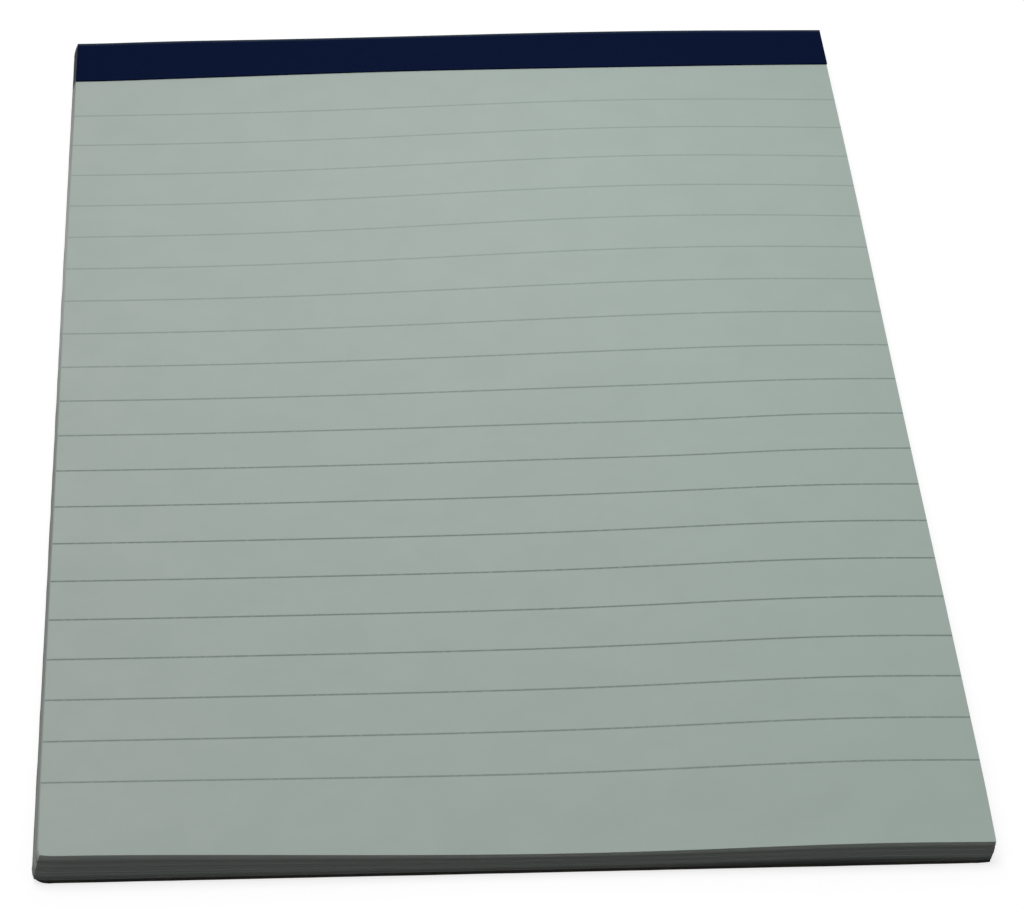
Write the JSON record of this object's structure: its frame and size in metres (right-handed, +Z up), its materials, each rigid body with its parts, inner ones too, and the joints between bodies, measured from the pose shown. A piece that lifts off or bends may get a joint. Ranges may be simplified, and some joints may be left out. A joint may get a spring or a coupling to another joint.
{
  "type": "legal pad",
  "caption": "Top-bound ruled writing pad: a pile of white sheets gummed at the head onto a chipboard back, with a navy tape folded over the head.",
  "frame": {"origin": "on the table, under the middle of the pad's outline", "axes": "+Y from the foot to the taped head, +X to the right along the ruling, +Z up out of the top sheet"},
  "size_m": [0.1273, 0.2038, 0.0055],
  "materials": {
    "paper": "matte uncoated writing paper, ruled across",
    "chipboard": "rough grey chipboard",
    "gum": "dried padding gum",
    "tape": "matte navy binding tape"
  },
  "bodies": {
    "root": {"ruled_sheets": "paper", "backing_board": "chipboard", "padding_glue": "gum", "binding_tape": "tape"}
  },
  "joints": []
}
